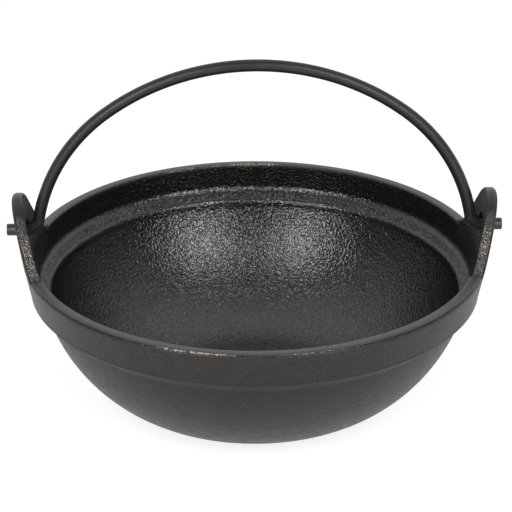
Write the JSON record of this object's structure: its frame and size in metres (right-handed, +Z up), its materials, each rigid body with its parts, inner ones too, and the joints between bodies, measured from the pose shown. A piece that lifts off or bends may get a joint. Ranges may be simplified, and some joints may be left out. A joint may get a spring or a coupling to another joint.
{
  "type": "cast iron hot pot",
  "caption": "Round-bottomed cast iron hot pot with an upright rim, a sloping lid seat inside it, and two pierced ears that carry a swinging round bail handle.",
  "frame": {"origin": "middle of the flat base that the pot stands on", "axes": "+Z up through the pot's mouth, +X along the line through both ear holes, which is the bail's pivot line, +Y away from the viewer in the picture"},
  "size_m": [0.2824, 0.2644, 0.2076],
  "materials": {
    "pot_iron": "seasoned, orange-peel as-cast texture, worn bare at the rim and the ears' edges",
    "bail_iron": "satin black, lightly nicked"
  },
  "bodies": {
    "pot": {"pot_body": "pot_iron"},
    "bail": {"bail_handle": "bail_iron"}
  },
  "joints": [
    {"name": "bail_swing", "type": "hinge", "parent": "pot", "child": "bail", "pos_m": [0, 0, 0.106], "axis": [1, 0, 0], "range_deg": [-160, 160]}
  ]
}
